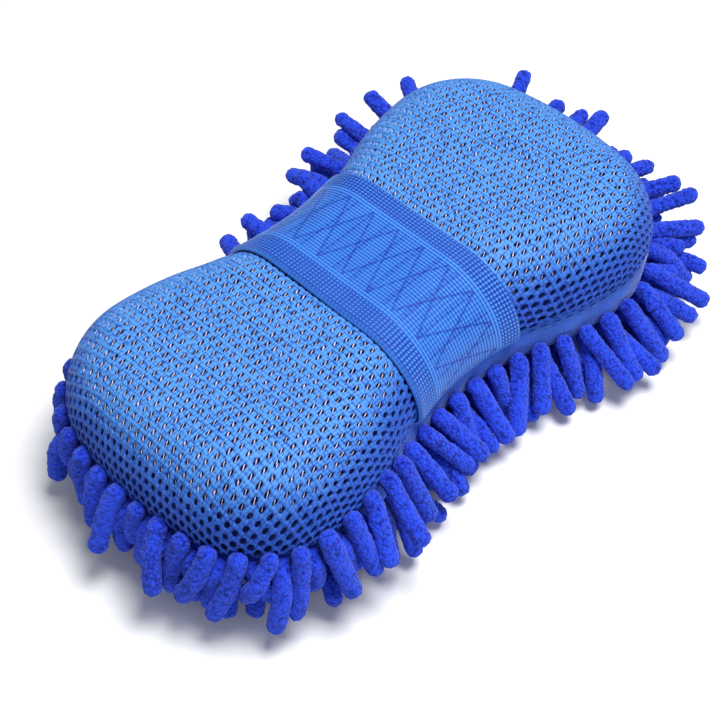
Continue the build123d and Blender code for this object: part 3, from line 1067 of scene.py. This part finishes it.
class MITT_OT_strap(bpy.types.Operator):
    """Makes the elastic hand strap over the waist, and the stitches of its two ends"""

    bl_idname = "mitt.strap"
    bl_label = "Hand Strap"

    def execute(self, context):
        sizes = context.scene.wash_mitt_sizes
        half = STRAP_WIDTH / 2
        middle_top = waist_edge(0, TOP_ROUNDING)
        reach = middle_top + QUARTER_RUN + (PAD_TOP - TOP_ROUNDING - STRAP_END_BOTTOM) - 0.5 * MM
        columns, rows, sparse = 161, 385, 16
        across = np.linspace(-half, half, columns)
        along = np.linspace(-reach, reach, rows)
        grid_along, grid_across = np.meshgrid(along, across, indexing="ij")
        extra = waist_edge(grid_across, TOP_ROUNDING) - middle_top
        grid_run = grid_along + np.sign(grid_along) * extra * np.abs(grid_along) / reach
        raised = strap_relief(grid_across / MM, grid_along / MM)
        roll = np.sqrt(np.clip(1 - (np.abs(grid_across) / half) ** 40, 0, 1))
        wave = 0.35 * MM * np.sin(grid_along / (11 * MM)) * (np.abs(grid_across) / half) ** 4
        selvedge = 0.5 * MM * np.exp(-(((grid_across / MM + 24.4) / 1.3) ** 2))
        lift = (1.25 * MM + 0.45 * MM * raised + selvedge) * roll + wave
        top = strap_point(grid_across, grid_run, lift).reshape(-1, 3)
        faces = [face[::-1] for face in ring_faces(rows, columns, closed=False)]
        coarse = np.linspace(0, columns - 1, sparse).astype(int)
        under = strap_point(grid_across, grid_run, 0.05 * MM + wave)[:, coarse].reshape(-1, 3)
        offset = len(top)
        underside = ring_faces(rows, sparse, closed=False)
        faces += [tuple(index + offset for index in face) for face in underside]
        for row in range(rows - 1):
            low, high = row * columns, (row + 1) * columns
            low_under, high_under = offset + row * sparse, offset + (row + 1) * sparse
            faces.append((low, high, high_under, low_under))
            far = columns - 1
            far_under = sparse - 1
            faces.append((high + far, low + far, low_under + far_under, high_under + far_under))
        last_row, last_under = (rows - 1) * columns, offset + (rows - 1) * sparse
        first = [*range(columns), *reversed(range(offset, offset + sparse))]
        last = [*range(last_row, last_row + columns), *reversed(range(last_under, last_under + sparse))]
        faces += [first, last[::-1]]
        flat = np.c_[grid_across.ravel(), grid_along.ravel()]
        flat = np.vstack([flat, np.c_[grid_across[:, coarse].ravel(), grid_along[:, coarse].ravel()]])
        shown = np.concatenate([raised.ravel(), np.full(len(under), 0.3)])
        strap = piece("elastic_strap", np.vstack([top, under]), faces,
                      material_of("woven elastic", strap_material), flat, extra={"raised": shown})
        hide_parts("hand_strap", "strap_end_left", "strap_end_right")
        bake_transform(strap)
        for name, side, cad in (("strap_thread_left", 1, "strap_end_left_stitches"),
                                ("strap_thread_right", -1, "strap_end_right_stitches")):
            places = np.linspace(-half + 3 * MM, half - 3 * MM, STRAP_STITCHES)
            run = np.full(STRAP_STITCHES, side * (reach - 2.5 * MM))
            lift = np.full(STRAP_STITCHES, 1.7 * MM)
            spots = strap_point(places, run, lift)
            aims = strap_point(places + 0.5 * MM, run, lift) - spots
            facings = np.tile([0.0, side, 0.0], (STRAP_STITCHES, 1))
            thread = stitches(name, sizes, spots, aims, facings, 2.8 * MM)
            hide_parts(cad)
        return {"FINISHED"}


# ---------------------------------------------------------------- the noodles


def noodle_axes(name):
    """Root, direction and length of each noodle in a CAD node."""
    bm = bmesh.new()
    bm.from_mesh(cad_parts[name].data)
    bmesh.ops.remove_doubles(bm, verts=bm.verts, dist=0.01 * MM)
    left = set(bm.verts)
    axes = []
    while left:
        island, fresh = [], [min(left, key=lambda vert: vert.index)]
        left.discard(fresh[0])
        while fresh:
            vert = fresh.pop()
            island.append(vert.co[:])
            for edge in vert.link_edges:
                other = edge.other_vert(vert)
                if other in left:
                    left.discard(other)
                    fresh.append(other)
        points = np.array(island)
        middle = points.mean(axis=0)
        way = np.linalg.svd(points - middle, full_matrices=False)[2][0]
        way = way if way[2] < 0 else -way
        reach = (points - middle) @ way
        axes.append((middle + way * reach.min(), way, reach.max() - reach.min()))
    bm.free()
    return axes


def unit(rows):
    """Rows scaled to length 1."""
    return rows / np.maximum(np.linalg.norm(rows, axis=-1, keepdims=True), 1e-9)


def fallen(roots, ways, tier):
    """The noodles' directions as they lie: hanging at one end, thrown out at the other and along the left."""
    place = roots[:, 0] / (PAD_LENGTH / 2)
    right, left = (np.interp(place, LIE_PLACES, lie) for lie in (LIE_RIGHT, LIE_LEFT))
    droop = np.radians(right + (left - right) * smooth(roots[:, 1], *LIE_STRIP) + LIE_TIER * tier)
    level = unit(ways[:, :2])
    return np.c_[level * np.cos(droop)[:, None], -np.sin(droop)]


def first_lines(sizes, roots, ways, lengths, draw):
    """Middle lines before they settle: each leaves its root its own way and curls a little."""
    count = len(roots)
    up = np.array([0, 0, 1.0])
    steep = np.abs(ways[:, 2]) > 0.98
    aside = unit(np.where(steep[:, None], [1.0, 0, 0], np.cross(ways, up)))
    over = np.cross(aside, ways)
    aim = unit(
        ways + aside * draw.normal(0, AIM_WANDER[0], count)[:, None]
        + over * draw.normal(AIM_LIFT, AIM_WANDER[1], count)[:, None])
    curl = (
        aside * draw.normal(0, CURL_WANDER[0], count)[:, None]
        + over * draw.normal(0, CURL_WANDER[1], count)[:, None])
    lines = np.empty((count, NOODLE_JOINTS, 3))
    inward = np.where(steep[:, None], ways * SOLE_SUNK, unit(ways * [1, 1, ROOT_SLOPE]) * FRINGE_SUNK)
    lines[:, 0] = roots - inward * MM
    step = (lengths / (NOODLE_JOINTS - 1))[:, None]
    lines[:, 1] = lines[:, 0] + unit(inward) * step
    for joint in range(2, NOODLE_JOINTS):
        bend = (joint - 1) / (NOODLE_JOINTS - 2)
        lines[:, joint] = lines[:, joint - 1] + unit(aim + curl * bend) * step
    return lines, step


def settle(sizes, lines, step):
    """Pushes the noodles off each other, the floor and the pad, and keeps their lengths."""
    radius = sizes.noodle_radius
    nearby, clearance, beside_pad, floor = 3.2 * radius, 1.9 * radius, 0.95 * radius, 1.3 * radius
    count = len(lines)
    owner = np.repeat(np.arange(count), NOODLE_JOINTS)
    free = np.tile(np.arange(NOODLE_JOINTS) > 1, count).astype(float)
    first = second = None
    for turn in range(SETTLE_TURNS):
        flat = lines.reshape(-1, 3)
        if turn % NEIGHBOUR_TURNS == 0:
            gap = np.linalg.norm(flat[:, None] - flat[None], axis=2)
            first, second = np.nonzero((gap < nearby) & (owner[:, None] < owner[None]))
        apart = flat[second] - flat[first]
        gap = np.maximum(np.linalg.norm(apart, axis=1), 1e-6)
        press = np.maximum(clearance - gap, 0) * SETTLE_PUSH
        push = apart / gap[:, None] * press[:, None]
        np.add.at(flat, second, push * free[second][:, None])
        np.add.at(flat, first, -push * free[first][:, None])
        past, _, outward = past_edge(flat[:, :2], 0)
        beside = (flat[:, 2] > SOLE_HEIGHT - 0.5 * radius) & (past < beside_pad) & (free > 0)
        flat[beside, :2] += outward[beside] * np.minimum(beside_pad - past[beside], 1 * MM)[:, None]
        under = (past < -0.5 * radius) & (free > 0)
        flat[under, 2] = np.minimum(flat[under, 2], SOLE_HEIGHT - 0.9 * radius)
        flat[free > 0, 2] = np.maximum(flat[free > 0, 2], floor)
        lines = flat.reshape(count, NOODLE_JOINTS, 3)
        inner = (lines[:, :-2] + lines[:, 2:]) / 2 - lines[:, 1:-1]
        lines[:, 2:-1] += SETTLE_EASE * inner[:, 1:]
        for joint in range(2, NOODLE_JOINTS):
            way = unit(lines[:, joint] - lines[:, joint - 1])
            lines[:, joint] = lines[:, joint - 1] + way * step
    return lines


def settled_noodles(sizes):
    """The middle lines of all noodles, by CAD node."""
    draw = np.random.default_rng(sizes.seed)
    names = [f"fringe_{tier}_{side}" for tier in FRINGE_TIERS for side in FRINGE_SIDES]
    names += [f"sole_row_{row}" for row in SOLE_ROWS]
    owners, roots, ways, lengths = [], [], [], []
    for name in names:
        for root, way, length in noodle_axes(name):
            owners.append(name)
            roots.append(root)
            ways.append(way)
            fringed = name.startswith("fringe")
            lengths.append((sizes.noodle_length if fringed else length) * draw.uniform(*LENGTH_SPREAD))
    ways = np.array(ways)
    roots = np.array(roots)
    for number, tier in enumerate(FRINGE_TIERS):
        chosen = np.array([name.startswith(f"fringe_{tier}") for name in owners])
        ways[chosen] = fallen(roots[chosen], ways[chosen], number)
        roots[chosen, 2] += HANG_RISE[number] * smooth(-ways[chosen, 2], *HANG_START)
    lines, step = first_lines(sizes, roots, ways, np.array(lengths), draw)
    lines = settle(sizes, lines, step)
    owners = np.array(owners)
    return {name: lines[owners == name] for name in names}


class MITT_OT_noodles(bpy.types.Operator):
    """Makes the chenille noodles: three tiers of fringe and seven rows on the sole"""

    bl_idname = "mitt.noodles"
    bl_label = "Chenille Noodles"

    def execute(self, context):
        sizes = context.scene.wash_mitt_sizes
        draw = np.random.default_rng(sizes.seed + 1)
        for name, lines in settled_noodles(sizes).items():
            shown = name.startswith(("fringe_upper", "fringe_middle"))
            around, along = SHOWN_GRID if shown else HIDDEN_GRID
            count = len(lines)
            edges = [
                (noodle * NOODLE_JOINTS + joint, noodle * NOODLE_JOINTS + joint + 1)
                for noodle in range(count) for joint in range(NOODLE_JOINTS - 1)
            ]
            thick = np.repeat(draw.uniform(*THICKNESS_SPREAD, count), NOODLE_JOINTS)
            noodles = grow(
                name.replace("fringe", "noodles").replace("sole_row", "noodles_sole"),
                lines.reshape(-1, 3), edges,
                {"Radius": sizes.noodle_radius, "Around": around, "Along": along,
                 "Lump Height": sizes.lump_height, "Lump Scale": LUMP_SCALE,
                 "Material": material_of("terry chenille", noodle_material)},
                {"size": thick}, tree_of("sweep noodles", noodle_tree))
            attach(noodles, "root")
            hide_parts(name)
        return {"FINISHED"}


# ---------------------------------------------------------------- the stage


# Half the floor's side, and the camera's directions, distance and lens.
FLOOR_REACH = 3.0
CAMERA_AZIMUTH = math.radians(316.8)
CAMERA_ELEVATION = math.radians(51.4)
CAMERA_ROLL = math.radians(-2.6)
CAMERA_DISTANCE = 0.542
CAMERA_LENS = 79.6
CAMERA_TARGET = Vector((-0.0206, -0.0153, 0.040))


def area_light(name, place, aim, size, power, tint):
    """A square soft light."""
    light = bpy.data.lights.new(name, "AREA")
    light.size = size
    light.energy = power
    light.color = tint
    obj = bpy.data.objects.new(name, light)
    obj.location = place
    obj.rotation_euler = (Vector(aim) - Vector(place)).to_track_quat("-Z", "Y").to_euler()
    bpy.context.scene.collection.objects.link(obj)


class MITT_OT_stage(bpy.types.Operator):
    """Makes the pale floor, the studio lights and the camera"""

    bl_idname = "mitt.stage"
    bl_label = "Stage"

    def execute(self, context):
        scene = context.scene
        scene.view_settings.view_transform = "Standard"
        material, tree, shader = start_material("floor", 0.9, 0.0)
        pale = noise(tree, object_place(tree), 3)
        feed(tree, shader.inputs["Base Color"], between(tree, pale, (0.86, 0.87, 0.88), (0.9, 0.9, 0.9)))
        corners = [(x * FLOOR_REACH, y * FLOOR_REACH, 0) for x, y in ((-1, -1), (1, -1), (1, 1), (-1, 1))]
        piece("floor", corners, [(0, 1, 2, 3)], material)
        world = bpy.data.worlds.new("studio")
        world.use_nodes = True
        world.node_tree.nodes["Background"].inputs["Color"].default_value = (0.93, 0.96, 1.0, 1.0)
        world.node_tree.nodes["Background"].inputs["Strength"].default_value = 0.33
        scene.world = world
        area_light(
            "key", place=(0.12, -0.2, 0.95), aim=(-0.02, 0, 0.05), size=0.4, power=11, tint=(1.0, 0.99, 0.97))
        area_light(
            "fill", place=(0.1, -1.0, 0.5), aim=(0, 0, 0.03), size=0.5, power=1.5, tint=(0.95, 0.97, 1.0))
        self.camera(scene)
        return {"FINISHED"}

    @staticmethod
    def camera(scene):
        """The camera, aimed a little below and beside the middle of the pad."""
        level = Vector((-math.sin(CAMERA_AZIMUTH), math.cos(CAMERA_AZIMUTH), 0))
        right = Vector((math.cos(CAMERA_AZIMUTH), math.sin(CAMERA_AZIMUTH), 0))
        ahead = level * math.cos(CAMERA_ELEVATION) - Vector((0, 0, math.sin(CAMERA_ELEVATION)))
        up = right.cross(ahead)
        data = bpy.data.cameras.new("camera")
        data.lens = CAMERA_LENS
        data.sensor_width = 36
        data.clip_start = 0.01
        camera = bpy.data.objects.new("camera", data)
        place = Matrix.Translation(CAMERA_TARGET - ahead * CAMERA_DISTANCE)
        turned = Matrix((right, up, -ahead)).transposed().to_4x4()
        camera.matrix_world = place @ turned @ Matrix.Rotation(CAMERA_ROLL, 4, "Z")
        scene.collection.objects.link(camera)
        scene.camera = camera


# ---------------------------------------------------------------- the add-on


STEPS = (MITT_OT_foam, MITT_OT_cloth, MITT_OT_net, MITT_OT_strap, MITT_OT_noodles, MITT_OT_stage)


class MITT_PT_panel(bpy.types.Panel):
    """Lists the mitt's pieces in the order they are made"""

    bl_idname = "MITT_PT_panel"
    bl_label = "Wash Mitt"
    bl_space_type = "VIEW_3D"
    bl_region_type = "UI"
    bl_category = "Wash Mitt"

    def draw(self, context):
        for step in STEPS:
            self.layout.operator(step.bl_idname, text=step.bl_label)
        for group in (context.scene.wash_mitt_sizes, context.scene.wash_mitt_colours):
            box = self.layout.box()
            for name in group.bl_rna.properties.keys():
                if name not in ("rna_type", "name"):
                    box.prop(group, name)


CLASSES = (WashMittSizes, WashMittColours, *STEPS, MITT_PT_panel)


def register():
    """Adds the mitt's classes and settings."""
    for made in CLASSES:
        bpy.utils.register_class(made)
    bpy.types.Scene.wash_mitt_sizes = PointerProperty(type=WashMittSizes)
    bpy.types.Scene.wash_mitt_colours = PointerProperty(type=WashMittColours)


def unregister():
    """Takes them away again."""
    del bpy.types.Scene.wash_mitt_colours
    del bpy.types.Scene.wash_mitt_sizes
    for made in reversed(CLASSES):
        bpy.utils.unregister_class(made)


def main():
    """Builds the mitt and its stage."""
    register()
    bpy.ops.mitt.foam()
    bpy.ops.mitt.cloth()
    bpy.ops.mitt.net()
    bpy.ops.mitt.strap()
    bpy.ops.mitt.noodles()
    bpy.ops.mitt.stage()


if __name__ == "__main__":
    main()
